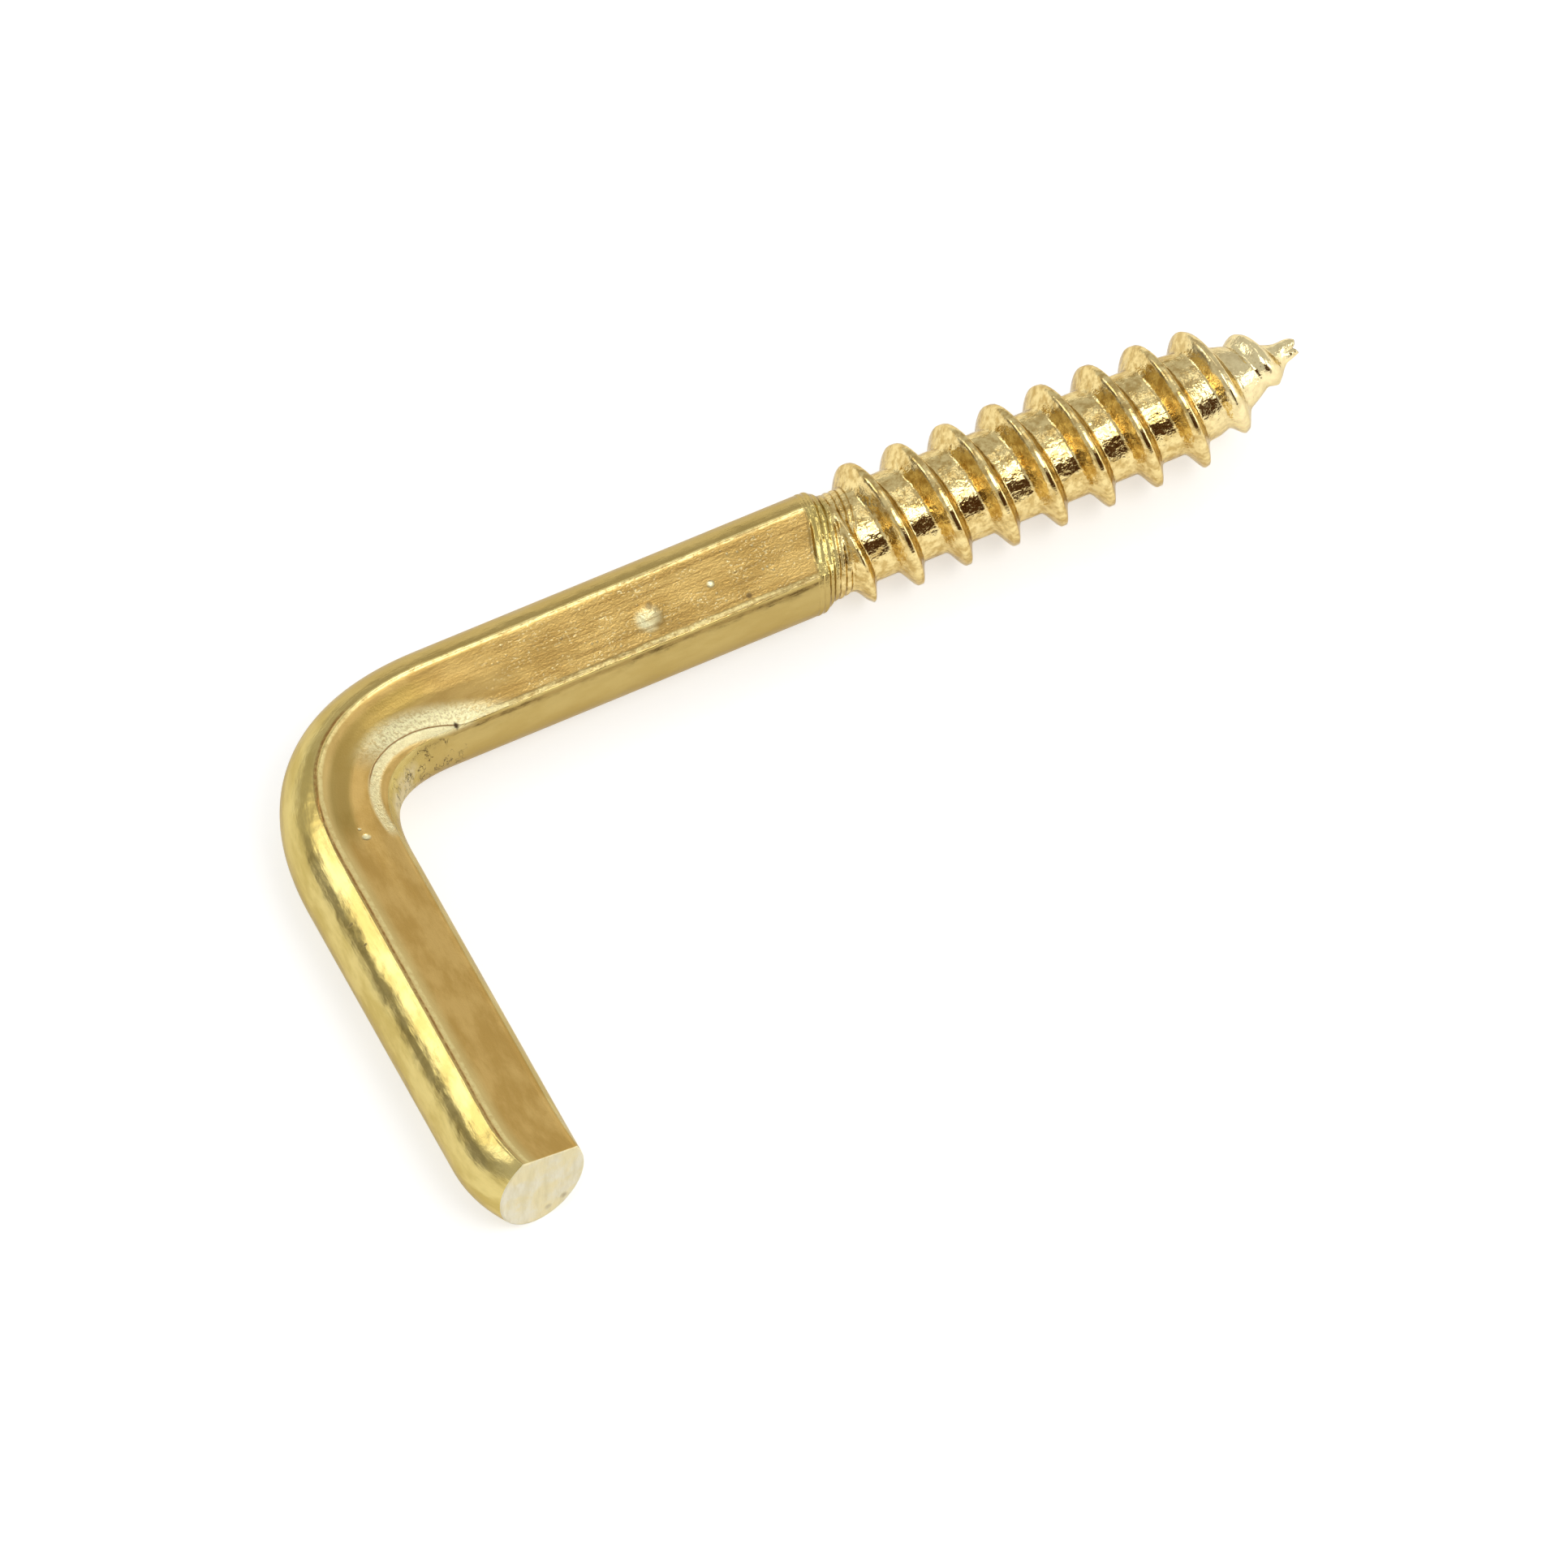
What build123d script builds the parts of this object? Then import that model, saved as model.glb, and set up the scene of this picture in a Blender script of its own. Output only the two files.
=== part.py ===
from build123d import *
import os
from math import asin, cos, degrees, pi, radians, sin, tan

# Square-bend screw hook in brass, one piece of round wire: a short arm that ends where it was
# sheared, a tight bend, a long arm, and a wood-screw thread. Both arms carry one coined flat.
# It is worked out with the corner of the two axes at zero, the long arm along +X and the
# short arm along -Y, and laid down at the end.

# Driving dimensions, in millimetres and degrees.
wire_radius = 1.75            # round wire before it is coined
long_arm = 32.32              # corner of the two axes to the screw point
short_arm = 16.16             # corner of the two axes to the sheared end
outer_bend_radius = 5.7       # outside of the bend, seen from above
inner_bend_radius = 2.15      # inside of the bend, seen from above

flat_height = 1.41            # wire axis to the coined flat
flat_lean_long = 19.0         # the flat leans towards the inside of the bend
flat_lean_short = 16.0

shoulder_place = 16.67        # middle of the edge where the full wire ends
shoulder_slant = 13.0         # that edge is this much out of square
shoulder_length = 0.5         # the cone from the full wire down to the neck
neck_radius = 1.535

thread_radius = 2.05
root_radius = 1.475           # between the thread's turns
thread_pitch = 1.54
crest_width = 0.24            # flat on top of the thread
flank_angle = 30.0            # each side of the thread, from a plane square to the axis
thread_start = 16.9           # the turns run in here
thread_crest = 17.97          # one crest stands straight below the axis here
full_thread_end = 28.5        # the crests shrink from here to the point
point_start = 30.15           # plain cone from here
point_start_radius = 1.45
point_radius = 0.12

end_rounding = 1.0            # length of the short arm that the shear has rounded over
end_half_width = 1.5
end_shift = 0.31              # the sheared face lies this much towards the inside
end_skew = 8.5                # the sheared face is this much out of square

bend_sections = 13
flank_points = 7


def wire_section(middle, outward, half_width, lean):
    """The wire cut across: an oval with one flat, in a plane that stands upright."""
    plane = Plane(origin=middle, x_dir=outward, z_dir=outward.cross(Vector(0, 0, 1)))
    reach = flat_height + wire_radius
    above = Pos(-reach * sin(radians(lean)), reach * cos(radians(lean)))
    cut = above * Rot(0, 0, lean) * Rectangle(4 * wire_radius, 2 * wire_radius)
    still_round = abs(half_width - wire_radius) < 1e-6
    outline = Circle(wire_radius) if still_round else Ellipse(half_width, wire_radius)
    return plane * (outline - cut)


def inner_point(travel):
    """A point on the inside of the bend, for travel 0 at the long arm to 1 at the short arm."""
    straight = outer_bend_radius - inner_bend_radius - 2 * wire_radius
    total = 2 * straight + inner_bend_radius * pi / 2
    centre = wire_radius + inner_bend_radius
    along = min(travel, 1 - travel) * total
    turn = max(along - straight, 0) / inner_bend_radius
    x = centre - inner_bend_radius * sin(turn) + max(straight - along, 0)
    y = -centre + inner_bend_radius * cos(turn)
    return Vector(x, y, 0) if travel <= 0.5 else Vector(-y, -x, 0)


def outer_point(travel):
    """The matching point on the outside of the bend."""
    centre = outer_bend_radius - wire_radius
    turn = travel * pi / 2
    return Vector(centre - outer_bend_radius * sin(turn),
                  -centre + outer_bend_radius * cos(turn), 0)


def bend_section(travel):
    inner, outer = inner_point(travel), outer_point(travel)
    lean = flat_lean_long + (flat_lean_short - flat_lean_long) * travel
    return wire_section((inner + outer) * 0.5, (outer - inner).normalized(),
                        (outer - inner).length / 2, lean)


def bent_wire():
    """The bend and both arms, up to the shoulder and to where the end starts to round."""
    bend_reach = outer_bend_radius - wire_radius
    bend = loft([bend_section(i / (bend_sections - 1)) for i in range(bend_sections)])
    long_part = extrude(bend_section(0), amount=shoulder_place + 1 - bend_reach, dir=(1, 0, 0))
    short_length = short_arm - end_rounding - bend_reach
    short_part = extrude(bend_section(1), amount=short_length, dir=(0, -1, 0))
    return bend + (long_part & shoulder_limit()) + short_part


def shoulder_limit():
    """What the long arm is trimmed to: a bar whose end is a slanted cone."""
    wide = long_arm / 2
    slope = (wire_radius - neck_radius) / shoulder_length
    spare = 0.25
    bar = turned([(-shoulder_place, wide), (-1, wide), (-spare, wire_radius + slope * spare),
                  (shoulder_length + spare, neck_radius - slope * spare)])
    return Pos(shoulder_place, 0, 0) * Rot(0, 0, -shoulder_slant) * bar


def sheared_end():
    """The last of the short arm: it closes in a little and is cut slightly out of square."""
    outward = Vector(-1, 0, 0)
    spare = 0.6
    beyond = (end_rounding + spare) / end_rounding
    last_width = wire_radius - (wire_radius - end_half_width) * beyond
    first = wire_section(Vector(0, end_rounding - short_arm, 0), outward,
                         wire_radius, flat_lean_short)
    last = wire_section(Vector(end_shift * beyond, -short_arm - spare, 0), outward,
                        last_width, flat_lean_short)
    face = Plane(origin=(0, -short_arm, 0), z_dir=Vector(0, -1, 0).rotate(Axis.Z, end_skew))
    return split(loft([first, last]), bisect_by=face, keep=Keep.BOTTOM)


def turned(profile):
    """A solid turned about the long arm's axis, from its (x, radius) points."""
    corners = [(profile[0][0], 0)] + profile + [(profile[-1][0], 0)]
    return revolve(make_face(Polyline(*corners, close=True)), Axis.X)


def thread_section():
    """The threaded wire cut square across: two arcs joined by the two flanks."""
    degrees_per_mm = 360 / thread_pitch
    crest_half = crest_width / 2 * degrees_per_mm
    depth = thread_radius - root_radius
    flank = depth * tan(radians(flank_angle)) * degrees_per_mm
    steps = [i / (flank_points - 1) for i in range(flank_points)]
    ahead = [(thread_radius - depth * s, radians(crest_half + flank * s)) for s in steps]
    crest = CenterArc((0, 0), thread_radius, -crest_half, 2 * crest_half)
    root = CenterArc((0, 0), root_radius, crest_half + flank, 360 - 2 * (crest_half + flank))
    leading = Spline(*[(r * cos(a), r * sin(a)) for r, a in ahead])
    trailing = Spline(*[(r * cos(a), -r * sin(a)) for r, a in ahead])
    return make_face([crest, leading, root, trailing])


def screw():
    """The section turned as it advances, trimmed to run in and to shrink at the point."""
    length = point_start - thread_start
    turns = length / thread_pitch
    rod = Solid.extrude_linear_with_rotation(thread_section().faces()[0], (0, 0, 0),
                                             (0, 0, length), 360 * turns)
    rod = Plane(origin=(thread_start, 0, 0), x_dir=(0, 1, 0), z_dir=(1, 0, 0)) * rod
    below = -90 + (thread_start - thread_crest) / thread_pitch * 360
    clear = thread_radius + 0.15
    limit = turned([(thread_start, root_radius - 0.01), (thread_start + 0.75, clear),
                    (full_thread_end - 0.3, clear), (full_thread_end + 0.8, 1.88),
                    (29.95, 1.56), (point_start, point_start_radius)])
    return rod.rotate(Axis.X, below) & limit


def neck_and_point():
    shoulder_root = shoulder_place - 1
    neck = turned([(shoulder_root, neck_radius), (thread_start, neck_radius)])
    point = turned([(point_start, point_start_radius), (long_arm, point_radius)])
    return neck, point


def hook():
    """One solid, laid down so that it rests on the short arm and the first full crest."""
    neck, point = neck_and_point()
    solid = bent_wire() + sheared_end() + neck + screw() + point
    solid = solid.rotate(Axis.Y, -degrees(asin((thread_radius - wire_radius) / thread_crest)))
    box = solid.bounding_box()
    return Pos(-box.center().X, -box.center().Y, -box.min.Z) * solid


os.makedirs("parts", exist_ok=True)
export_step(hook(), "parts/hook.step")
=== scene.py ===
import bpy
import numpy as np
from math import acos, asin, cos, degrees, pi, radians, sin, tan
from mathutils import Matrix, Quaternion, Vector


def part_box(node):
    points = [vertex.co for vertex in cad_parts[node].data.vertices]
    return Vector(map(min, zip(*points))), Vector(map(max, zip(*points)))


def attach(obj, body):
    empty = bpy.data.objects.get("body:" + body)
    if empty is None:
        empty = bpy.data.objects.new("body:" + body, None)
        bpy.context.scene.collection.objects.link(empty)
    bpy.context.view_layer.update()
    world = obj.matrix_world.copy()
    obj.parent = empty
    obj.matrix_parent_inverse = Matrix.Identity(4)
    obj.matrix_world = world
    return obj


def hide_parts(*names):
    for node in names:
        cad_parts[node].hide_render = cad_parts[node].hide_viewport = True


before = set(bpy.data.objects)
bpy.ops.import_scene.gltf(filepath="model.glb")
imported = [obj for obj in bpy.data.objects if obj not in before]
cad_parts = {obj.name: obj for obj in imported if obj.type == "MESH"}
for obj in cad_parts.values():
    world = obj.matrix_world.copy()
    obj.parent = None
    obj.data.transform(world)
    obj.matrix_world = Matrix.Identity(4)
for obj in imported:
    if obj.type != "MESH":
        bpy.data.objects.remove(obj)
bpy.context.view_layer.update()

# Square-bend screw hook in brass. Sizes are in millimetres, turned to metres when a mesh is made.
# The wire is worked out with the corner of its two axes at zero, the long arm along +X, the
# short arm along -Y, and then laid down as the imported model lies.
MM = 0.001

# the wire and its bend
WIRE = 1.75             # radius before the flat is coined
LONG_ARM = 32.32        # corner of the two axes to the screw point
SHORT_ARM = 16.10       # corner of the two axes to the sheared end
OUTER_REACH = 6.3       # from the corner of the outside edges to where the bend begins
OUTER_PULL = 0.93       # 0.71 is a round bend, more is tighter in its middle
INNER_REACH = 2.65      # the same two for the inside edges
INNER_PULL = 1.18
BEND_REACH = max(OUTER_REACH - WIRE, INNER_REACH + WIRE)
BEND_LENGTH = 8.4       # counted along the wire
BEND_FADE = 8.0         # arm length that counts as one more travel of the bend

# the coined flat; angles about the wire are in degrees from the middle of the flat
FLAT_HEIGHT = 1.41      # wire axis to the flat
FLAT_LEAN_LONG = 19.0   # the flat leans towards the inside of the bend
FLAT_LEAN_SHORT = 16.0
FLAT_HALF_ANGLE = degrees(acos(FLAT_HEIGHT / WIRE))
EDGE_RIDGE = 0.022      # metal raised along the flat's two edges
EDGE_RIDGE_WIDTH = 2.2
FOLD_HEIGHT = 0.07      # metal folded up on the inside of the bend
FOLD_ANGLE = 21
HOLLOW_DEPTH = 0.035    # and sunk beside it
HOLLOW_ANGLE = -6
FOLD_WIDTH = 12
DENT_RUN = 26.50        # the dent in the long flat: run is counted from the sheared end
DENT_ACROSS = 0.20
DENT_RADIUS = 0.52
DENT_DEPTH = 0.055

# shoulder, neck and thread
SHOULDER = 16.67        # middle of the edge where the full wire ends
SHOULDER_SLANT = 13.0   # that edge is this much out of square
SHOULDER_LOW = 28.9     # the slanted edge is nearest the point at this angle from +Y
SHOULDER_LENGTH = 0.5
NECK = 1.535            # radii
THREAD = 2.05
ROOT = 1.475
PITCH = 1.54
THREAD_START = 16.95
CREST_BELOW = 17.97     # one crest stands straight below the axis here
CREST_WIDTH = 0.15
FLANK_TO_HEAD = 0.41
FLANK_TO_POINT = 0.29
GROOVE_PITCH = 0.20     # fine turned grooves on the neck
GROOVE_DEPTH = 0.026

# the worn screw point
POINT_WORN = 31.5       # worn from here to the end
POINT_ANGLE = 40        # the two lips stand at this angle from +Y and opposite it
POINT_FLATTENED = 0.36
POINT_SPLIT = 0.14
POINT_ASIDE = 0.26      # the point is pushed this far to one side
POINT_ASIDE_FROM = 30.2

# the sheared end
END_WIDTH = 1.44        # half width across the bend
END_SHIFT = 0.31
END_SKEW = 8.5
END_SKEW_LENGTH = 3.0
END_ROUNDING = 1.9      # length that the shear has rounded over
END_SUNK = 0.03
CAP_SCALES = [0.985, 0.95, 0.9, 0.82, 0.72, 0.6, 0.46, 0.3, 0.14]


def smooth(x, low, high):
    t = np.clip((x - low) / (high - low), 0.0, 1.0)
    return t * t * (3 - 2 * t)


def hump(x, middle, width):
    return np.exp(-((x - middle) / width) ** 2)


# ---------------------------------------------------------------- the wire's route


def bend_edge(corner, reach, pull, travels):
    """Places along one edge of the bend, for travel 0 at the long arm to 1 at the short arm."""
    t = np.linspace(0, 1, 200)[:, None]
    weights = (1 - t) ** 2, 2 * pull * t * (1 - t), t ** 2
    begin, finish = corner + np.array((reach, 0.0)), corner - np.array((0.0, reach))
    curve = (weights[0] * begin + weights[1] * corner + weights[2] * finish) / sum(weights)
    path = np.concatenate(([(BEND_REACH, corner[1])], curve, [(corner[0], -BEND_REACH)]))
    gone = np.concatenate(([0.0], np.cumsum(np.linalg.norm(np.diff(path, axis=0), axis=1))))
    gone /= gone[-1]
    return np.stack([np.interp(travels, gone, path[:, k]) for k in (0, 1)], axis=1)


def ring(middle, outward, half_width, lean, travel, run, arm_x):
    return dict(middle=middle, outward=outward, half_width=half_width, lean=lean,
                travel=travel, run=run, arm_x=arm_x)


def short_arm_rings():
    fine_end = -SHORT_ARM + 1.6
    fine = np.linspace(-SHORT_ARM, fine_end, 30)
    coarse = np.linspace(fine_end, -BEND_REACH, 76)[1:]
    for y in np.concatenate((fine, coarse)):
        to_end = SHORT_ARM + y
        closing = (1 - min(to_end / END_ROUNDING, 1.0)) ** 2
        width = WIRE + (END_WIDTH - WIRE) * closing
        yield ring(np.array((END_SHIFT * closing, y)), np.array((-1.0, 0.0)), width,
                   FLAT_LEAN_SHORT, 1.0 + (-BEND_REACH - y) / BEND_FADE, to_end, -1.0)


def bend_rings():
    count = 92
    travels = 1 - np.arange(1, count) / count
    inner = bend_edge(np.array((WIRE, -WIRE)), INNER_REACH, INNER_PULL, travels)
    outer = bend_edge(np.array((-WIRE, WIRE)), OUTER_REACH, OUTER_PULL, travels)
    for travel, near, far in zip(travels, inner, outer):
        span = far - near
        size = np.linalg.norm(span)
        lean = FLAT_LEAN_LONG + (FLAT_LEAN_SHORT - FLAT_LEAN_LONG) * travel
        yield ring((near + far) / 2, span / size, size / 2, lean, travel,
                   SHORT_ARM - BEND_REACH + BEND_LENGTH * (1 - travel), -1.0)


def long_arm_rings():
    start = SHORT_ARM - BEND_REACH + BEND_LENGTH
    plain_end = 15.9
    arm = np.linspace(BEND_REACH, plain_end, 100)
    screw = np.linspace(plain_end, LONG_ARM, 366)[1:]
    for x in np.concatenate((arm, screw)):
        aside = POINT_ASIDE * smooth(x, POINT_ASIDE_FROM, LONG_ARM)
        yield ring(np.array((x, aside)), np.array((0.0, 1.0)), WIRE, FLAT_LEAN_LONG,
                   -(x - BEND_REACH) / BEND_FADE, start + x - BEND_REACH, x)


def around_angles():
    """Angles about the wire from the middle of the flat, closer together at its two edges."""
    edge = 4.6      # degrees each side of an edge that get closer angles
    flat = np.linspace(-FLAT_HALF_ANGLE + edge, FLAT_HALF_ANGLE - edge, 23)
    near = np.linspace(-edge, edge, 10)[1:]
    back = np.linspace(FLAT_HALF_ANGLE + edge, 360 - FLAT_HALF_ANGLE - edge, 96)[1:-1]
    return np.concatenate((flat, FLAT_HALF_ANGLE + near, back,
                           [360 - FLAT_HALF_ANGLE - edge], 360 - FLAT_HALF_ANGLE + near))[:-1]


# ---------------------------------------------------------------- the wire's section


def oval_radius(angle, half_width):
    a = np.radians(angle)
    return half_width * WIRE / np.hypot(WIRE * np.cos(a), half_width * np.sin(a))


def chord_radius(angle, start, end, half_width):
    """Distance from the axis to the straight line between two places on the oval."""
    def place(t):
        r = oval_radius(t, half_width)
        return r * np.cos(np.radians(t)), r * np.sin(np.radians(t))
    (x0, y0), (x1, y1) = place(start), place(end)
    dx, dy = x1 - x0, y1 - y0
    c, s = np.cos(np.radians(angle)), np.sin(np.radians(angle))
    across = c * dy - s * dx
    return np.where(np.abs(across) > 1e-6, (x0 * dy - y0 * dx) / across, 99.0)


# radius at places along the long arm: the metal between the turns, and the crests
CORE_TAPER = [(16.0, NECK), (16.9, NECK), (17.3, ROOT), (28.1, ROOT), (29.2, 1.36),
              (30.2, 1.05), (31.0, 0.70), (31.7, 0.34), (LONG_ARM, 0.16)]
CREST_TAPER = [(17.25, NECK - 0.05), (17.85, THREAD), (28.45, THREAD), (29.25, 1.90),
               (29.95, 1.57), (30.8, 1.16), (31.4, 0.80), (31.9, 0.36), (LONG_ARM, 0.16)]


def taper(x, points):
    return np.interp(x, [p[0] for p in points], [p[1] for p in points])


def turn_height(x, angle):
    """0 between the thread's turns to 1 on a crest; angle is from +Y towards +Z."""
    phase = (x - CREST_BELOW) / PITCH - (angle - 270) / 360
    offset = (phase - np.round(phase)) * PITCH
    flank = np.where(offset < 0, FLANK_TO_HEAD, FLANK_TO_POINT)
    down = np.clip((np.abs(offset) - CREST_WIDTH / 2) / flank, 0, 1)
    return 1 - (0.45 * down + 0.55 * down * down * (3 - 2 * down))


def slanted_place(arm_x, angle, body):
    """How far along the long arm each place is, counted square to the slanted shoulder."""
    if arm_x < 0:
        return np.full_like(angle, -1.0)
    lean = 0.9 * tan(radians(SHOULDER_SLANT)) * body * np.cos(np.radians(angle - SHOULDER_LOW))
    wobble = (0.018 * np.sin(np.radians(3 * angle + 40))
              + 0.010 * np.sin(np.radians(7 * angle)))
    return arm_x - lean + wobble


def section(r, angles):
    """Radius of one ring at each angle, with the masks that the finish reads."""
    from_flat = (angles + 180) % 360 - 180
    middle = 90 + r["lean"]
    angle = middle + from_flat
    body = oval_radius(angle, r["half_width"])
    line = chord_radius(angle, middle - FLAT_HALF_ANGLE, middle + FLAT_HALF_ANGLE,
                        r["half_width"])
    on_flat = np.abs(from_flat) < FLAT_HALF_ANGLE
    flat = np.where(on_flat, np.minimum(line, body), body)
    along = slanted_place(r["arm_x"], angle, body)
    kept = 1 - smooth(along, SHOULDER - 0.36, SHOULDER - 0.24)
    radius = flat + np.maximum(NECK - flat, 0) * (1 - kept)

    # raised edges, and the fold and hollow inside the bend
    edge = hump(np.abs(from_flat), FLAT_HALF_ANGLE, EDGE_RIDGE_WIDTH)
    radius = radius + EDGE_RIDGE * edge * kept
    bend = np.exp(-((r["travel"] - 0.5) / 0.62) ** 4)
    radius = radius + FOLD_HEIGHT * bend * hump(from_flat, FOLD_ANGLE, FOLD_WIDTH) * kept
    radius = radius - HOLLOW_DEPTH * bend * hump(from_flat, HOLLOW_ANGLE, FOLD_WIDTH) * kept

    # the dent
    across = radius * np.sin(np.radians(from_flat))
    from_dent = (r["run"] - DENT_RUN) ** 2 + (across - DENT_ACROSS) ** 2
    radius = radius - (on_flat * DENT_DEPTH
                       * np.maximum(1 - from_dent / DENT_RADIUS ** 2, 0) ** 2)

    # shoulder, thread, grooves and the worn point
    screw = np.zeros_like(angle)
    if r["arm_x"] > SHOULDER - 1.2:
        shoulder_start = SHOULDER - 0.10
        shoulder = smooth(along, shoulder_start, shoulder_start + SHOULDER_LENGTH)
        core = taper(r["arm_x"], CORE_TAPER)
        radius = radius + (core - radius) * shoulder
        lift = max(taper(r["arm_x"], CREST_TAPER) - core, 0.0)
        if r["arm_x"] > THREAD_START:
            height = turn_height(r["arm_x"], angle)
            screw = height * lift / (THREAD - ROOT)
            radius = radius + height * lift
        turned = smooth(along, 16.30, 16.45) * (1 - smooth(along, 17.5, 17.8))
        turned = turned * (1 - np.clip(screw / 0.2, 0, 1))
        radius = radius + GROOVE_DEPTH / 2 * turned * np.sin(2 * pi * along / GROOVE_PITCH)
        worn = smooth(r["arm_x"], POINT_WORN, LONG_ARM)
        lips = np.cos(np.radians(2 * (angle - POINT_ANGLE)))
        radius = radius * (1 + worn * POINT_FLATTENED * lips)
    return angle, radius, on_flat * kept, screw, along


def laid_down(points):
    """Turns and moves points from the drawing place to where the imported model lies."""
    low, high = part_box("hook")
    tilt = asin((THREAD - WIRE) / CREST_BELOW)
    x = points[:, 0] * cos(tilt) - points[:, 2] * sin(tilt)
    z = points[:, 0] * sin(tilt) + points[:, 2] * cos(tilt)
    moved = np.stack((x, points[:, 1], z), axis=1) * MM
    moved[:, 0] += low[0] + WIRE * MM
    moved[:, 1] += high[1] - THREAD * MM
    moved[:, 2] += WIRE * MM
    return moved


def strip(first, second, count):
    """Faces between two rings of corners."""
    following = [(k + 1) % count for k in range(count)]
    return [(first + k, first + n, second + n, second + k) for k, n in enumerate(following)]


def build_hook():
    """The whole wire as one mesh, with what the finish reads kept at its corners."""
    rings = list(short_arm_rings()) + list(bend_rings()) + list(long_arm_rings())
    angles = around_angles()
    count = len(angles)
    points, flats, screws, slants, wraps = [], [], [], [], []

    def keep(places, flat=None, screw=None, slant=None, wrap=None):
        size = len(places)
        points.append(places)
        for kept, given in ((flats, flat), (screws, screw), (slants, slant)):
            kept.append(np.zeros(size) if given is None else given)
        wraps.append(np.zeros((size, 3)) if wrap is None else wrap)

    for r in rings:
        angle, radius, flat, screw, along = section(r, angles)
        c, s = np.cos(np.radians(angle)), np.sin(np.radians(angle))
        x = r["middle"][0] + r["outward"][0] * radius * c
        y = r["middle"][1] + r["outward"][1] * radius * c
        if r["run"] < END_SKEW_LENGTH:
            fade = 1 - smooth(r["run"], 0.0, END_SKEW_LENGTH)
            y = y + fade * tan(radians(END_SKEW)) * x
        worn = smooth(r["arm_x"], POINT_WORN, LONG_ARM)
        lips = np.abs(np.cos(np.radians(angle - POINT_ANGLE)))
        x = x + worn * POINT_SPLIT * (lips - 0.75)
        turn = np.radians(angles)
        wrap = np.stack((np.full(count, r["run"]), radius * np.sin(turn),
                         radius * np.cos(turn)), axis=1)
        keep(np.stack((x, y, radius * s), axis=1), flat, screw, along, wrap)
    faces = []
    for i in range(len(rings) - 1):
        faces += strip(i * count, (i + 1) * count, count)

    # the sheared end, in rings that shrink to its middle
    body_faces = len(faces)
    rim = points[0]
    middle = rim.mean(axis=0)
    previous, total = 0, len(rings) * count
    for scale in CAP_SCALES:
        keep(middle + (rim - middle) * scale + np.array((0, -END_SUNK, 0)))
        faces += [(b, a, d, c) for a, b, c, d in strip(previous, total, count)]
        previous, total = total, total + count
    hub = total
    keep(middle[None, :])
    faces += [(previous + (k + 1) % count, previous + k, hub) for k in range(count)]
    cap_faces = len(faces) - body_faces

    # the screw point
    last = (len(rings) - 1) * count
    keep(np.array([[LONG_ARM - 0.2, POINT_ASIDE, 0]]))
    faces += [(last + k, last + (k + 1) % count, hub + 1) for k in range(count)]

    verts = laid_down(np.concatenate(points))
    mesh = bpy.data.meshes.new("hook_wire")
    mesh.from_pydata(verts.tolist(), [], faces)
    mesh.polygons.foreach_set("use_smooth", [True] * len(faces))
    for name, values in (("flat", flats), ("screw", screws), ("slant", slants)):
        layer = mesh.attributes.new(name, "FLOAT", "POINT")
        layer.data.foreach_set("value", np.concatenate(values).astype(np.float32))
    layer = mesh.attributes.new("wrap", "FLOAT_VECTOR", "POINT")
    layer.data.foreach_set("vector", np.concatenate(wraps).astype(np.float32).ravel())
    piece = bpy.data.objects.new("hook_wire", mesh)
    bpy.context.collection.objects.link(piece)
    indices = np.zeros(len(faces), dtype=np.int32)
    indices[body_faces:body_faces + cap_faces] = 1
    groups = {"line": line_group(), "span": span_group(), "spot": spot_group(),
              "specks": speck_group(), "mottle": mottle_group()}
    mesh.materials.append(drawn_brass(groups))
    mesh.materials.append(sheared_brass(groups))
    mesh.polygons.foreach_set("material_index", indices)
    mesh.validate()
    mesh.update()
    return piece


# ---------------------------------------------------------------- finishes


def dark_and_light(dark, light):
    return dark + (1,), light + (1,)


WIRE_BRASS = dark_and_light((0.56, 0.43, 0.135), (0.70, 0.565, 0.215))
# painted light and shade: the two flats are one brass, the short flat's colour set lighter and the
# long flat's darker to offset how the light falls on each
SHORT_FLAT_LIT_BRASS = dark_and_light((0.64, 0.40, 0.11), (0.78, 0.52, 0.17))
LONG_FLAT_SHADED_BRASS = dark_and_light((0.43, 0.275, 0.08), (0.55, 0.37, 0.12))
ROLLED_BRASS = dark_and_light((0.58, 0.40, 0.135), (0.88, 0.70, 0.32))
SHEARED_BRASS = dark_and_light((1.0, 0.87, 0.50), (1.0, 0.92, 0.68))
INNER_SIDE_SHADE = (0.46, 0.32, 0.105, 1)     # painted shade: the long arm's two sides are coloured a little darker
OUTER_SIDE_SHADE = (0.52, 0.37, 0.12, 1)
# painted highlight along the curved outer edge of the short arm's flat
ROUNDED_EDGE_HIGHLIGHT = (0.84, 0.66, 0.27, 1)
# painted highlight on the screw point
PALE_POINT_HIGHLIGHT = (1.0, 0.88, 0.53, 1)
# painted shade on the flat about the bend
OLIVE_SHADE = (0.40, 0.28, 0.07, 1)
# painted highlight along the flat's raised edges
RIDGE_HIGHLIGHT_GOLD = (1.0, 0.83, 0.37, 1)
# painted highlight, partly burnished metal
BURNISHED_HIGHLIGHT = (1.0, 0.92, 0.54, 1)
# painted shade in the folds
CREASE_SHADE_BROWN = (0.36, 0.17, 0.045, 1)
# painted shade on the long arm's inner side, and the dark of scratches
SHADE_AND_SCRATCH_BROWN = (0.30, 0.18, 0.05, 1)
DULLED_CORNER = (0.78, 0.66, 0.38, 1)
# near-black for stains, the pit and cracks, and painted shade beside the dent
SOIL_AND_SHADE = (0.09, 0.05, 0.02, 1)
SHEAR_STREAK = (0.76, 0.64, 0.32, 1)
SHEAR_CHIP = (0.40, 0.29, 0.15, 1)
SHINE_TINT = (0.72, 0.66, 0.56, 1)


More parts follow.
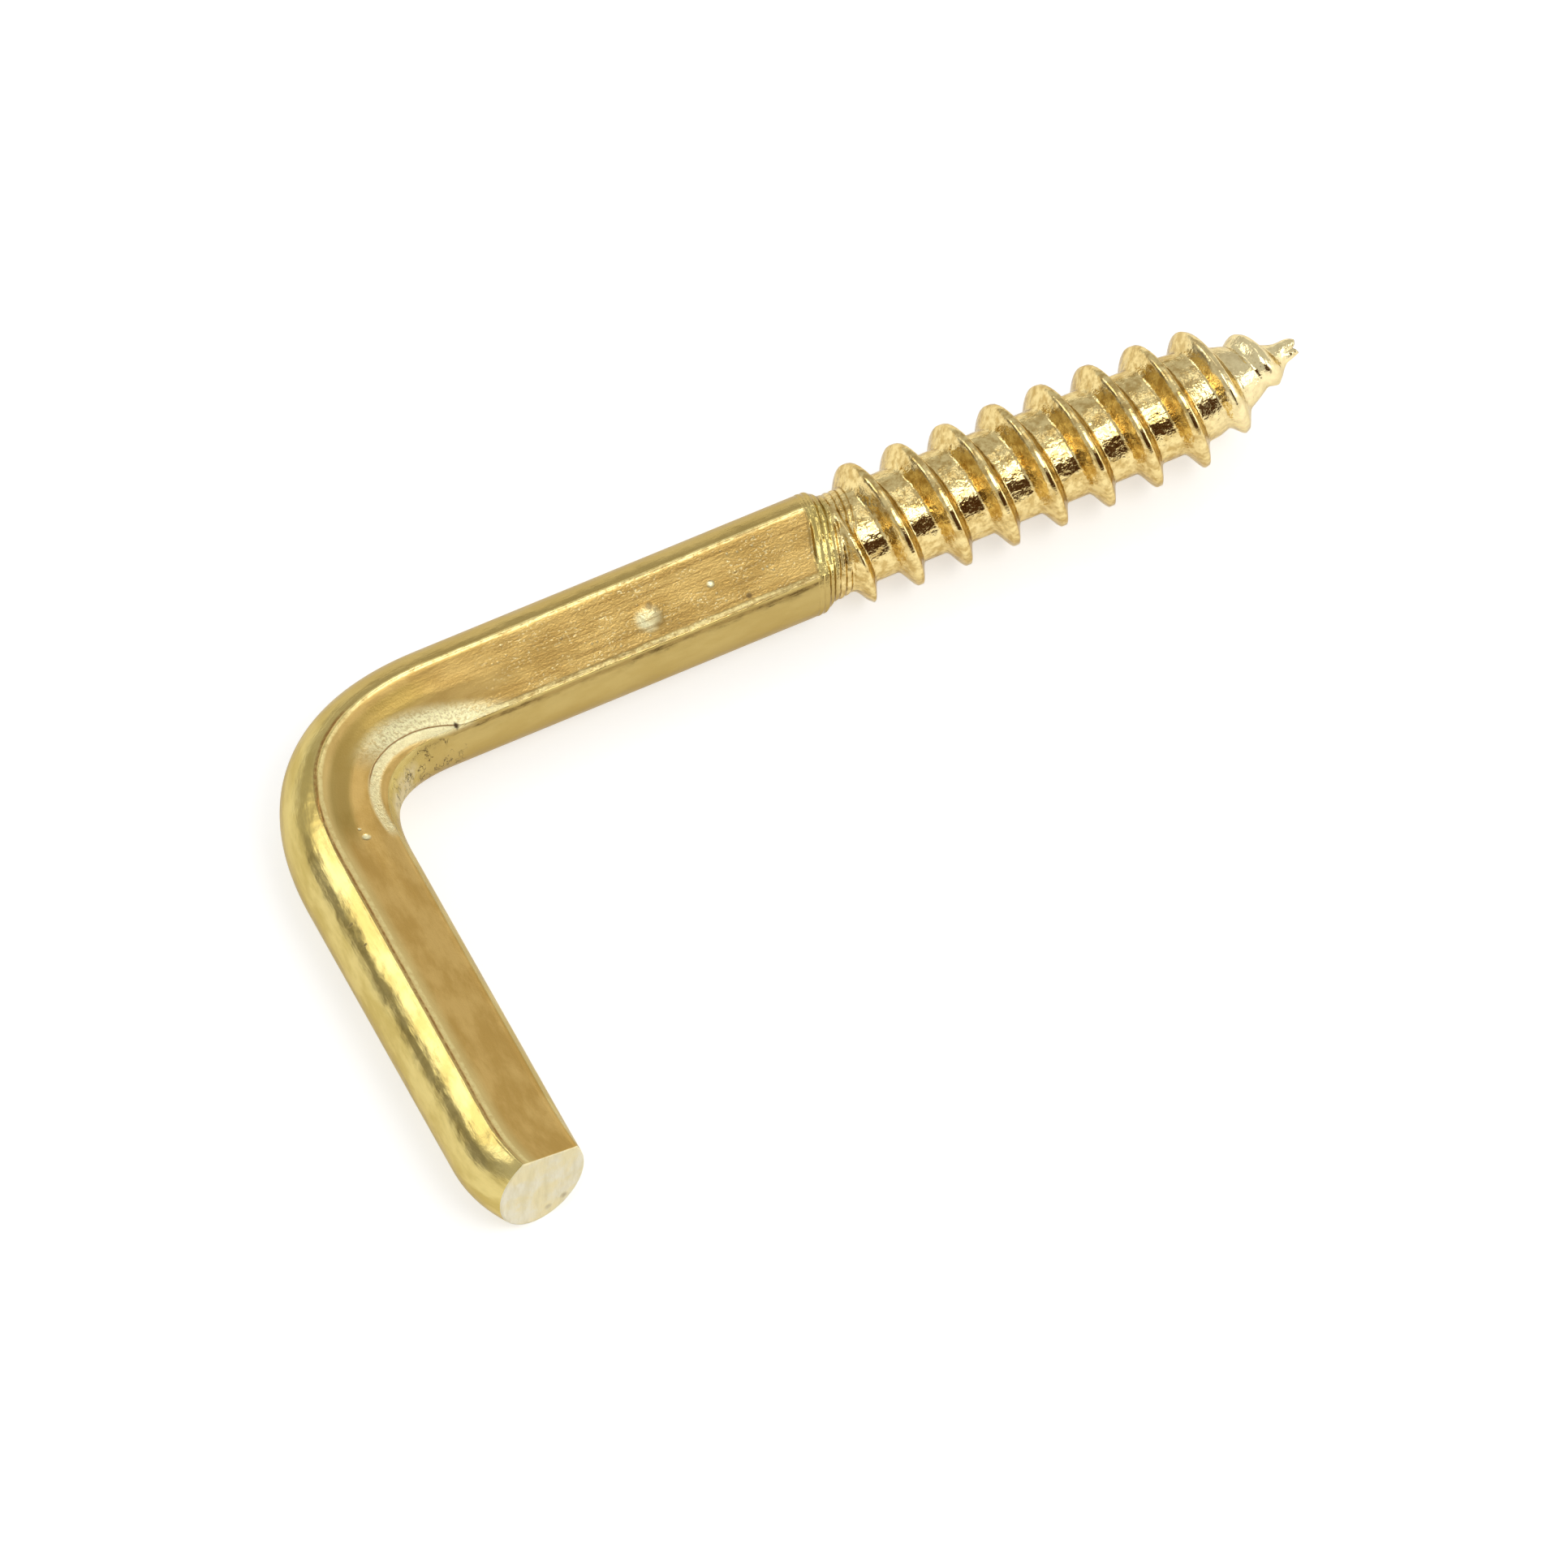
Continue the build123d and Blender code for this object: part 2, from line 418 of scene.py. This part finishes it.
class Nodes:
    """Short ways to add and join shader nodes in one tree."""

    def __init__(self, tree):
        self.tree = tree

    def add(self, kind, **values):
        node = self.tree.nodes.new(kind)
        for name, value in values.items():
            setattr(node, name, value)
        return node

    def join(self, source, target):
        self.tree.links.new(source, target)

    def put(self, socket, value):
        if isinstance(value, bpy.types.NodeSocket):
            self.join(value, socket)
        else:
            socket.default_value = value

    def math(self, operation, a, b=0.0, c=0.0, clamp=False):
        node = self.add("ShaderNodeMath", operation=operation, use_clamp=clamp)
        for socket, value in zip(node.inputs, (a, b, c)):
            self.put(socket, value)
        return node.outputs[0]

    def times(self, *values):
        total = values[0]
        for value in values[1:]:
            total = self.math("MULTIPLY", total, value)
        return total

    def plus(self, *values):
        total = values[0]
        for value in values[1:]:
            total = self.math("ADD", total, value)
        return total

    def minus(self, a, b, clamp=False):
        return self.math("SUBTRACT", a, b, clamp=clamp)

    def most(self, *values):
        """The largest of several masks."""
        total = values[0]
        for value in values[1:]:
            total = self.math("MAXIMUM", total, value)
        return total

    def step(self, value, low, high, out_low=0.0, out_high=1.0):
        node = self.add("ShaderNodeMapRange", interpolation_type="SMOOTHSTEP")
        for socket, given in zip(node.inputs, (value, low, high, out_low, out_high)):
            self.put(socket, given)
        return node.outputs[0]

    def mix(self, factor, a, b):
        node = self.add("ShaderNodeMix", data_type="RGBA")
        self.put(node.inputs[0], factor)
        self.put(node.inputs[6], a)
        self.put(node.inputs[7], b)
        return node.outputs[2]

    def blend(self, factor, a, b):
        node = self.add("ShaderNodeMix", data_type="FLOAT")
        self.put(node.inputs[0], factor)
        self.put(node.inputs[2], a)
        self.put(node.inputs[3], b)
        return node.outputs[0]

    def noise(self, vector, scale, detail=3.0, rough=0.5):
        node = self.add("ShaderNodeTexNoise")
        self.put(node.inputs["Vector"], vector)
        self.put(node.inputs["Scale"], scale)
        self.put(node.inputs["Detail"], detail)
        self.put(node.inputs["Roughness"], rough)
        return node.outputs["Fac"]

    def scaled(self, vector, factors):
        node = self.add("ShaderNodeVectorMath", operation="MULTIPLY")
        self.join(vector, node.inputs[0])
        node.inputs[1].default_value = factors
        return node.outputs[0]

    def parts(self, vector):
        node = self.add("ShaderNodeSeparateXYZ")
        self.join(vector, node.inputs[0])
        return node.outputs[0], node.outputs[1], node.outputs[2]

    def attribute(self, name, output="Fac"):
        return self.add("ShaderNodeAttribute", attribute_name=name).outputs[output]

    def bump(self, height, shader):
        """Relief from a height in millimetres."""
        node = self.add("ShaderNodeBump")
        node.inputs["Strength"].default_value = 1.0
        node.inputs["Distance"].default_value = MM
        self.join(height, node.inputs["Height"])
        self.join(node.outputs[0], shader.inputs["Normal"])

    def group(self, tree, **values):
        node = self.add("ShaderNodeGroup", node_tree=tree)
        for name, value in values.items():
            self.put(node.inputs[name.replace("_", " ").capitalize()], value)
        return node.outputs[0]


def new_group(name, inputs, output):
    """An empty node group with named sockets; an input given as None is a vector."""
    tree = bpy.data.node_groups.new(name, "ShaderNodeTree")
    for label, value in inputs.items():
        kind = "NodeSocketVector" if value is None else "NodeSocketFloat"
        socket = tree.interface.new_socket(label, in_out="INPUT", socket_type=kind)
        if value is not None:
            socket.default_value = value
    tree.interface.new_socket(output, in_out="OUTPUT", socket_type="NodeSocketFloat")
    n = Nodes(tree)
    given = n.add("NodeGroupInput").outputs
    result = n.add("NodeGroupOutput").inputs[0]
    return tree, n, given, result


def line_group():
    """1 on a line where the value is at a position, falling to 0 at half its width."""
    tree, n, given, result = new_group("line", {"Value": 0.0, "Position": 0.0, "Width": 0.1},
                                       "Mask")
    away = n.math("ABSOLUTE", n.minus(given["Value"], given["Position"]))
    half = n.math("MULTIPLY", given["Width"], 0.5)
    n.join(n.step(away, n.math("MULTIPLY", half, 0.3), half, 1.0, 0.0), result)
    return tree


def span_group():
    """1 between two values, with soft ends."""
    tree, n, given, result = new_group("span", {"Value": 0.0, "From": 0.0, "To": 1.0, "Edge": 0.3},
                                       "Mask")
    rise = n.step(given["Value"], n.minus(given["From"], given["Edge"]), given["From"])
    fall = n.step(given["Value"], given["To"], n.math("ADD", given["To"], given["Edge"]), 1.0, 0.0)
    n.join(n.math("MULTIPLY", rise, fall), result)
    return tree


def spot_group():
    """1 in a round spot about one place, from two distances along and across the wire."""
    tree, n, given, result = new_group(
        "spot", {"Run": 0.0, "Across": 0.0, "At run": 0.0, "At across": 0.0, "Radius": 0.3}, "Mask")
    dx = n.minus(given["Run"], given["At run"])
    dy = n.minus(given["Across"], given["At across"])
    away = n.math("SQRT", n.plus(n.times(dx, dx), n.times(dy, dy)))
    n.join(n.step(away, n.math("MULTIPLY", given["Radius"], 0.35), given["Radius"], 1.0, 0.0),
           result)
    return tree


def speck_group():
    """Scattered small specks of uneven size."""
    tree, n, given, result = new_group("specks", {"Place": None, "Scale": 4.0, "Share": 0.3},
                                       "Mask")
    cells = n.add("ShaderNodeTexVoronoi")
    n.join(given["Place"], cells.inputs["Vector"])
    n.join(given["Scale"], cells.inputs["Scale"])
    chance = n.parts(cells.outputs["Color"])[0]
    picked = n.step(chance, n.minus(1.0, given["Share"]), 1.0)
    n.join(n.times(n.step(cells.outputs["Distance"], 0.06, 0.36, 1.0, 0.0), picked), result)
    return tree


def mottle_group():
    """Soft uneven patches."""
    tree, n, given, result = new_group("mottle", {"Place": None, "Scale": 1.0, "Low": 0.38,
                                                  "High": 0.62}, "Mask")
    patches = n.noise(given["Place"], given["Scale"], 5.0, 0.6)
    n.join(n.step(patches, given["Low"], given["High"]), result)
    return tree


def new_material(name):
    material = bpy.data.materials.new(name)
    material.use_nodes = True
    nodes = Nodes(material.node_tree)
    shader = material.node_tree.nodes["Principled BSDF"]
    return material, nodes, shader


def drawn_brass(groups):
    """The wire, its coined flat, the neck and the thread."""
    material, n, shader = new_material("drawn_brass")
    wrap = n.attribute("wrap", "Vector")
    run, across, up = n.parts(wrap)
    flat, screw, slant = n.attribute("flat"), n.attribute("screw"), n.attribute("slant")

    def span(value, start, end, edge=0.3):
        return n.group(groups["span"], value=value, **{"from": start}, to=end, edge=edge)

    def line(value, position, width):
        return n.group(groups["line"], value=value, position=position, width=width)

    def spot(at_run, at_across, radius):
        return n.group(groups["spot"], run=run, across=across, at_run=at_run,
                       at_across=at_across, radius=radius)

    def mottle(vector, scale, low=0.38, high=0.62):
        return n.group(groups["mottle"], place=vector, scale=scale, low=low, high=high)

    above = n.step(up, 0.0, 0.4)
    threaded = n.step(slant, 16.9, 17.2)
    necked = n.times(span(slant, 16.36, 17.70, 0.08), n.step(screw, 0.02, 0.25, 1.0, 0.0))
    on_long = n.step(run, 20.5, 23.0)
    not_necked = n.step(slant, 16.3, 16.4, 1.0, 0.0)
    wander = n.minus(n.noise(wrap, 1.1, 2.0), 0.5)
    worn_edge = n.noise(n.scaled(wrap, (3.0, 3.0, 3.0)), 2.2, 3.0, 0.7)

    # the raised lines and folds along the flat's edges; these masks also carry painted highlight
    # and painted shade
    on_short = n.step(run, 11.0, 16.0, 1.0, 0.0)
    edge_place = n.plus(-1.03, n.times(on_short, 0.19), n.times(wander, 0.05))
    past_bend = n.step(run, 18.6, 20.2)
    outer_ridge = n.times(line(across, edge_place, 0.20), above, not_necked)
    inner_ridge = n.times(line(across, n.plus(0.97, n.times(wander, 0.12)), 0.22), above,
                          past_bend, not_necked)
    outer_fold = n.times(line(across, n.minus(edge_place, 0.13), 0.13), above,
                         span(run, 1.2, 16.5, 1.2))
    inner_shade = n.times(line(across, n.plus(1.16, n.times(wander, 0.1)), 0.16), above,
                          past_bend, not_necked)
    off_middle = n.minus(run, 15.7)
    fold_place = n.plus(0.46, n.times(off_middle, off_middle, 0.030), n.times(wander, 0.05))
    inner_fold = n.times(line(across, fold_place, 0.06), span(run, 15.3, 19.7, 0.7), above)
    past_fold = n.minus(across, fold_place)
    # the band inside the fold, painted as a highlight and grained in the relief
    fold_band = n.times(span(past_fold, 0.05, 0.26, 0.14), span(run, 12.9, 20.2, 0.9), above,
                        n.step(across, 1.02, 1.2, 1.0, 0.0),
                        n.step(worn_edge, 0.20, 0.55, 0.45, 1.0))
    glitter = n.noise(wrap, 9.0, 3.0, 0.65)
    # painted highlight on a grainy patch past the inner fold, roughened in the relief as well
    beaten_highlight = n.times(span(past_fold, -0.36, 0.0, 0.50), span(run, 17.3, 20.2, 2.2), flat,
                     n.step(glitter, 0.38, 0.54, 0.50, 1.0))
    olive_shade = n.times(span(across, -0.62, -0.18, 0.22), span(run, 13.2, 18.6, 1.6), flat)

    # marks, with painted highlight in the dent and a painted shade spot beside it
    pit = spot(19.9, 1.0, 0.13)
    uneven = n.times(n.minus(worn_edge, 0.5), 0.35)
    dent_floor = spot(26.52, 0.20, n.plus(0.43, uneven))
    # painted highlight: the bright crescent at the dent's edge
    dent_crescent_highlight = n.minus(spot(26.42, 0.24, 0.47), spot(26.60, 0.14, 0.50), clamp=True)
    dent_shade = spot(26.62, -0.12, 0.16)
    nick = n.plus(spot(12.37, 0.08, 0.17), spot(12.75, -0.03, 0.07))
    small_dent = spot(28.55, -0.02, 0.14)
    stain = n.plus(spot(29.45, 0.74, 0.12), spot(9.7, -1.5, 0.07), spot(8.87, -1.45, 0.06))
    crowd = mottle(n.scaled(wrap, (0.6, 1.0, 1.0)), 0.9, 0.42, 0.56)
    grit_noise = n.noise(n.scaled(wrap, (0.7, 1.0, 1.0)), 15.0, 2.0, 0.6)
    specks = n.times(n.group(groups["specks"], place=wrap, scale=6.5, share=0.6), on_long, flat,
                     crowd)
    flurry = mottle(n.scaled(wrap, (0.5, 1.0, 1.0)), 2.2, 0.46, 0.60)
    fine_specks = n.times(n.step(grit_noise, 0.56, 0.66), on_long, flat, flurry)
    scratch_lines = n.noise(n.scaled(wrap, (0.25, 4.5, 4.5)), 1.6, 3.0, 0.6)
    scratches = n.times(n.step(scratch_lines, 0.53, 0.62), on_long, flat)
    corner = n.times(span(run, 14.4, 16.8, 0.7), span(up, -0.5, 1.0, 0.3), n.step(across, 0.9, 1.2),
                     mottle(wrap, 1.6, 0.36, 0.56))
    crack_noise = n.noise(wrap, 2.3, 4.0, 0.65)
    cracks = n.times(line(crack_noise, 0.53, 0.035), n.step(across, 0.8, 1.1),
                     n.step(n.noise(wrap, 1.3, 2.0), 0.44, 0.54),
                     span(run, 15.0, 19.6, 0.6), span(up, -0.2, 1.25, 0.1))
    # stains, the pit and cracks painted near-black, and painted shade from the spot beside the dent
    soil_and_shade = n.most(pit, n.times(stain, 0.6), n.times(cracks, 0.85), n.times(dent_shade, 0.35))
    dents = n.most(nick, small_dent)

    # colour
    patches = mottle(n.scaled(wrap, (0.45, 1.0, 1.0)), 1.3)
    colour = n.mix(patches, *WIRE_BRASS)
    # painted shade on the long arm's two sides, fading in past the bend
    long_side_shade = n.step(run, 15.0, 19.0, 0.0, 0.75)
    colour = n.mix(n.times(n.step(across, 0.95, 1.15), long_side_shade), colour, INNER_SIDE_SHADE)
    colour = n.mix(n.times(n.step(across, -0.95, -1.15), long_side_shade), colour, OUTER_SIDE_SHADE)
    # painted light on the short arm's flat and painted shade on the long arm's flat
    flat_colour = n.mix(n.step(run, 14.0, 19.0), n.mix(patches, *SHORT_FLAT_LIT_BRASS),
                        n.mix(patches, *LONG_FLAT_SHADED_BRASS))
    colour = n.mix(flat, colour, flat_colour)
    # painted highlight: a brighter band along the outer edge of the short arm's flat
    rounded_edge_highlight = n.times(span(across, -1.04, -0.80, 0.4), flat, n.step(run, 11.0, 18.0, 1.0, 0.0))
    colour = n.mix(n.times(rounded_edge_highlight, 0.8), colour, ROUNDED_EDGE_HIGHLIGHT)
    rolled_brass = n.mix(mottle(wrap, 4.0, 0.35, 0.63), *ROLLED_BRASS)
    # painted highlight: the tapered point painted paler towards its end
    rolled_brass = n.mix(n.times(n.step(slant, 28.0, 30.6), 0.6), rolled_brass, PALE_POINT_HIGHLIGHT)
    colour = n.mix(threaded, colour, rolled_brass)
    # painted shade: a darker greenish-brown band on the outer half of the flat about the bend
    colour = n.mix(n.times(olive_shade, 0.65), colour, OLIVE_SHADE)
    # painted highlight: gold along the flat's raised edge lines, which are also raised in the mesh
    ridge_highlights = n.times(n.most(outer_ridge, inner_ridge), n.step(worn_edge, 0.30, 0.62, 0.15, 1.0))
    colour = n.mix(ridge_highlights, colour, RIDGE_HIGHLIGHT_GOLD)
    # painted highlight, partly burnished metal: bright colour on the band inside the fold, the
    # grainy patch, the specks on the long flat, the dent and its crescent, and the nicks
    burnish_highlight = n.most(n.times(fold_band, 0.85), beaten_highlight, n.times(specks, 0.5),
                     n.times(fine_specks, 0.5), n.plus(n.times(dent_floor, 0.55), dent_crescent_highlight),
                     dents)
    burnish_highlight = n.math("MINIMUM", burnish_highlight, 1.0)
    colour = n.mix(burnish_highlight, colour, BURNISHED_HIGHLIGHT)
    # painted shade: dark brown lines along the folds beside the flat's edges
    crease_shade = n.most(n.times(outer_fold, n.step(worn_edge, 0.3, 0.6, 0.25, 0.85)),
                     n.times(inner_fold, 0.85))
    colour = n.mix(crease_shade, colour, CREASE_SHADE_BROWN)
    # painted shade along the long arm's inner side, and the real dark of the scratches on the long
    # flat
    darker = n.most(n.times(inner_shade, 0.45), n.times(scratches, 0.55))
    colour = n.mix(darker, colour, SHADE_AND_SCRATCH_BROWN)
    colour = n.mix(n.times(corner, 0.85), colour, DULLED_CORNER)
    colour = n.mix(soil_and_shade, colour, SOIL_AND_SHADE)
    n.join(colour, shader.inputs["Base Color"])
    dull = n.most(n.times(corner, 0.7), n.times(soil_and_shade, 0.8))
    n.join(n.minus(1.0, dull), shader.inputs["Metallic"])

    # smoothness
    rough = n.blend(flat, 0.25, 0.36)
    rough = n.blend(threaded, rough, 0.14)
    rough = n.blend(necked, rough, 0.20)
    rough = n.blend(n.times(burnish_highlight, 0.8), rough, 0.26)
    rough = n.blend(n.most(soil_and_shade, corner), rough, 0.6)
    n.join(rough, shader.inputs["Roughness"])
    shader.inputs["Specular Tint"].default_value = SHINE_TINT

    # height in millimetres: raised first, then sunk
    grain = n.noise(wrap, 13.0, 4.0, 0.65)
    streaks = n.noise(n.scaled(wrap, (0.08, 1.0, 1.0)), 6.5, 3.0, 0.6)
    beaten_grain = n.math("MINIMUM", n.plus(fold_band, beaten_highlight, inner_ridge), 1.0)
    grain_depth = n.plus(0.004, n.times(beaten_grain, 0.028), n.times(flat, 0.003))
    waves = n.noise(n.scaled(wrap, (0.8, 1.0, 1.0)), 1.3, 2.0, 0.5)
    rolled = n.noise(wrap, 3.0, 3.0, 0.55)
    pecked = n.noise(wrap, 11.0, 2.0, 0.5)
    crumpled = n.times(n.plus(n.times(rolled, 0.050), n.times(pecked, 0.010)),
                       n.step(slant, 16.4, 16.7), n.step(screw, 0.2, 0.8, 1.0, 0.25))
    turned = n.math("SINE", n.times(n.plus(slant, n.times(wander, 0.02)),
                                    2 * pi / GROOVE_PITCH))
    turned = n.times(turned, necked, n.plus(0.004, n.times(worn_edge, 0.020)))
    height = n.plus(n.times(grain, grain_depth), n.times(streaks, 0.007),
                    n.times(waves, n.blend(flat, 0.055, 0.015)), crumpled, turned,
                    n.times(grit_noise, on_long, flat, 0.012))
    sunk = n.plus(n.times(dent_floor, n.plus(0.010, n.times(grain, 0.012))),
                  n.times(dents, 0.03), n.times(specks, 0.016),
                  n.times(inner_fold, 0.018), n.times(pit, 0.035),
                  n.times(outer_fold, 0.012), n.times(cracks, 0.03))
    n.bump(n.minus(height, sunk), shader)
    return material


def sheared_brass(groups):
    """The sheared end of the short arm."""
    material, n, shader = new_material("sheared_brass")
    source = n.add("ShaderNodeTexCoord").outputs["Object"]
    place = n.scaled(source, (1 / MM, 1 / MM, 1 / MM))
    upright = n.scaled(place, (2.4, 1.0, 0.6))
    pale = n.group(groups["mottle"], place=place, scale=0.9, low=0.40, high=0.58)
    streak = n.group(groups["mottle"], place=upright, scale=1.6, low=0.42, high=0.66)
    colour = n.mix(pale, *SHEARED_BRASS)
    colour = n.mix(n.times(streak, 0.35), colour, SHEAR_STREAK)
    chips = n.times(n.group(groups["specks"], place=place, scale=1.9, share=0.5),
                    n.step(n.parts(place)[2], 0.5, 1.3, 1.0, 0.0))
    colour = n.mix(n.times(chips, 0.7), colour, SHEAR_CHIP)
    n.join(colour, shader.inputs["Base Color"])
    shader.inputs["Metallic"].default_value = 0.1
    shader.inputs["Roughness"].default_value = 0.5
    torn = n.noise(upright, 2.4, 5.0, 0.65)
    n.bump(n.plus(n.times(torn, 0.06), n.times(chips, -0.08)), shader)
    return material


# ---------------------------------------------------------------- studio


SKY_LEVEL = 0.62
SKY_DARK = (0.075, 0.032, 0.010, 1)
# soft patches of light, or of shade where the strength is below zero: the direction they lie
# in, the degrees from it where they start and finish fading, and their strength
GLOWS = [
    ((0.23, -0.50, 0.84), 12, 17, 3.8),     # over the front of the long arm
    ((-0.64, 0.47, 0.62), 12, 18, 1.9),     # behind the bend
    ((0.89, -0.36, 0.28), 11, 19, 2.4),     # beyond the screw point
    ((0.28, 0.26, 0.92), 6, 14, 0.9),       # nearly overhead
    ((0.23, -0.91, 0.34), 18, 28, -0.60),   # low in front
    ((-0.93, 0.36, 0.12), 10, 24, -0.36),   # low behind the short arm
]


def glow(n, direction, centre, inner, outer, strength):
    """A soft round patch of light in the sky about one direction."""
    dot = n.add("ShaderNodeVectorMath", operation="DOT_PRODUCT")
    n.join(direction, dot.inputs[0])
    dot.inputs[1].default_value = Vector(centre).normalized()
    return n.step(dot.outputs["Value"], cos(radians(outer)), cos(radians(inner)), 0.0, strength)


def build_sky():
    """An even studio sky with soft patches, seen as white by the camera."""
    world = bpy.data.worlds.new("studio")
    bpy.context.scene.world = world
    world.use_nodes = True
    n = Nodes(world.node_tree)
    background = world.node_tree.nodes["Background"]
    unit = n.add("ShaderNodeVectorMath", operation="NORMALIZE")
    n.join(n.add("ShaderNodeTexCoord").outputs["Generated"], unit.inputs[0])
    total = n.plus(SKY_LEVEL, *(glow(n, unit.outputs[0], *patch) for patch in GLOWS))
    seen = n.add("ShaderNodeLightPath").outputs["Is Camera Ray"]
    colour = n.mix(n.step(total, 0.02, 0.42), SKY_DARK, total)
    colour = n.mix(seen, colour, (1.0, 1.0, 1.0, 1))
    n.join(colour, background.inputs["Color"])
    background.inputs["Strength"].default_value = 1.0


FLOOR_SIZE = 1.5        # metres, from its middle to an edge
FLOOR_GREY = 0.70
FLOOR_LIFT = 0.52       # the paper's own light for the camera, so that it shows white


def build_floor():
    """White paper that keeps the hook's soft shadow."""
    size = FLOOR_SIZE
    mesh = bpy.data.meshes.new("floor")
    mesh.from_pydata([(-size, -size, 0), (size, -size, 0), (size, size, 0), (-size, size, 0)],
                     [], [(0, 1, 2, 3)])
    floor = bpy.data.objects.new("floor", mesh)
    bpy.context.collection.objects.link(floor)
    material, n, shader = new_material("white_paper")
    shader.inputs["Base Color"].default_value = (FLOOR_GREY, FLOOR_GREY, FLOOR_GREY, 1)
    shader.inputs["Roughness"].default_value = 0.9
    shader.inputs["Specular IOR Level"].default_value = 0.0
    paths = n.add("ShaderNodeLightPath")
    seen = n.most(paths.outputs["Is Camera Ray"], paths.outputs["Is Glossy Ray"],
                  paths.outputs["Is Transmission Ray"])
    shader.inputs["Emission Color"].default_value = (1, 1, 1, 1)
    n.join(n.times(seen, FLOOR_LIFT), shader.inputs["Emission Strength"])
    mesh.materials.append(material)


CAMERA_TARGET = (12.5, -6.69, 0)    # from the corner of the wire's axes
CAMERA_TURN, CAMERA_RISE, CAMERA_ROLL = -25.275, 57.075, -0.3   # degrees
CAMERA_AWAY = 1.2       # metres
CAMERA_LENS = 951.6


def build_camera():
    low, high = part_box("hook")
    corner = Vector((low[0] + WIRE * MM, high[1] - THREAD * MM, WIRE * MM))
    target = corner + Vector(CAMERA_TARGET) * MM
    turn, rise, roll = radians(CAMERA_TURN), radians(CAMERA_RISE), radians(CAMERA_ROLL)
    towards = Vector((sin(turn) * cos(rise), -cos(turn) * cos(rise), sin(rise)))
    camera = bpy.data.cameras.new("camera")
    camera.lens = CAMERA_LENS
    camera.sensor_width = 36
    camera.clip_start = 0.01
    camera.clip_end = 20
    seat = bpy.data.objects.new("camera", camera)
    seat.location = target + towards * CAMERA_AWAY
    aim = (-towards).to_track_quat("-Z", "Y") @ Quaternion((0, 0, 1), roll)
    seat.rotation_euler = aim.to_euler()
    bpy.context.collection.objects.link(seat)
    bpy.context.scene.camera = seat


hook = build_hook()
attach(hook, "root")
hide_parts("hook")
build_sky()
build_floor()
build_camera()
bpy.context.scene.view_settings.view_transform = "Standard"
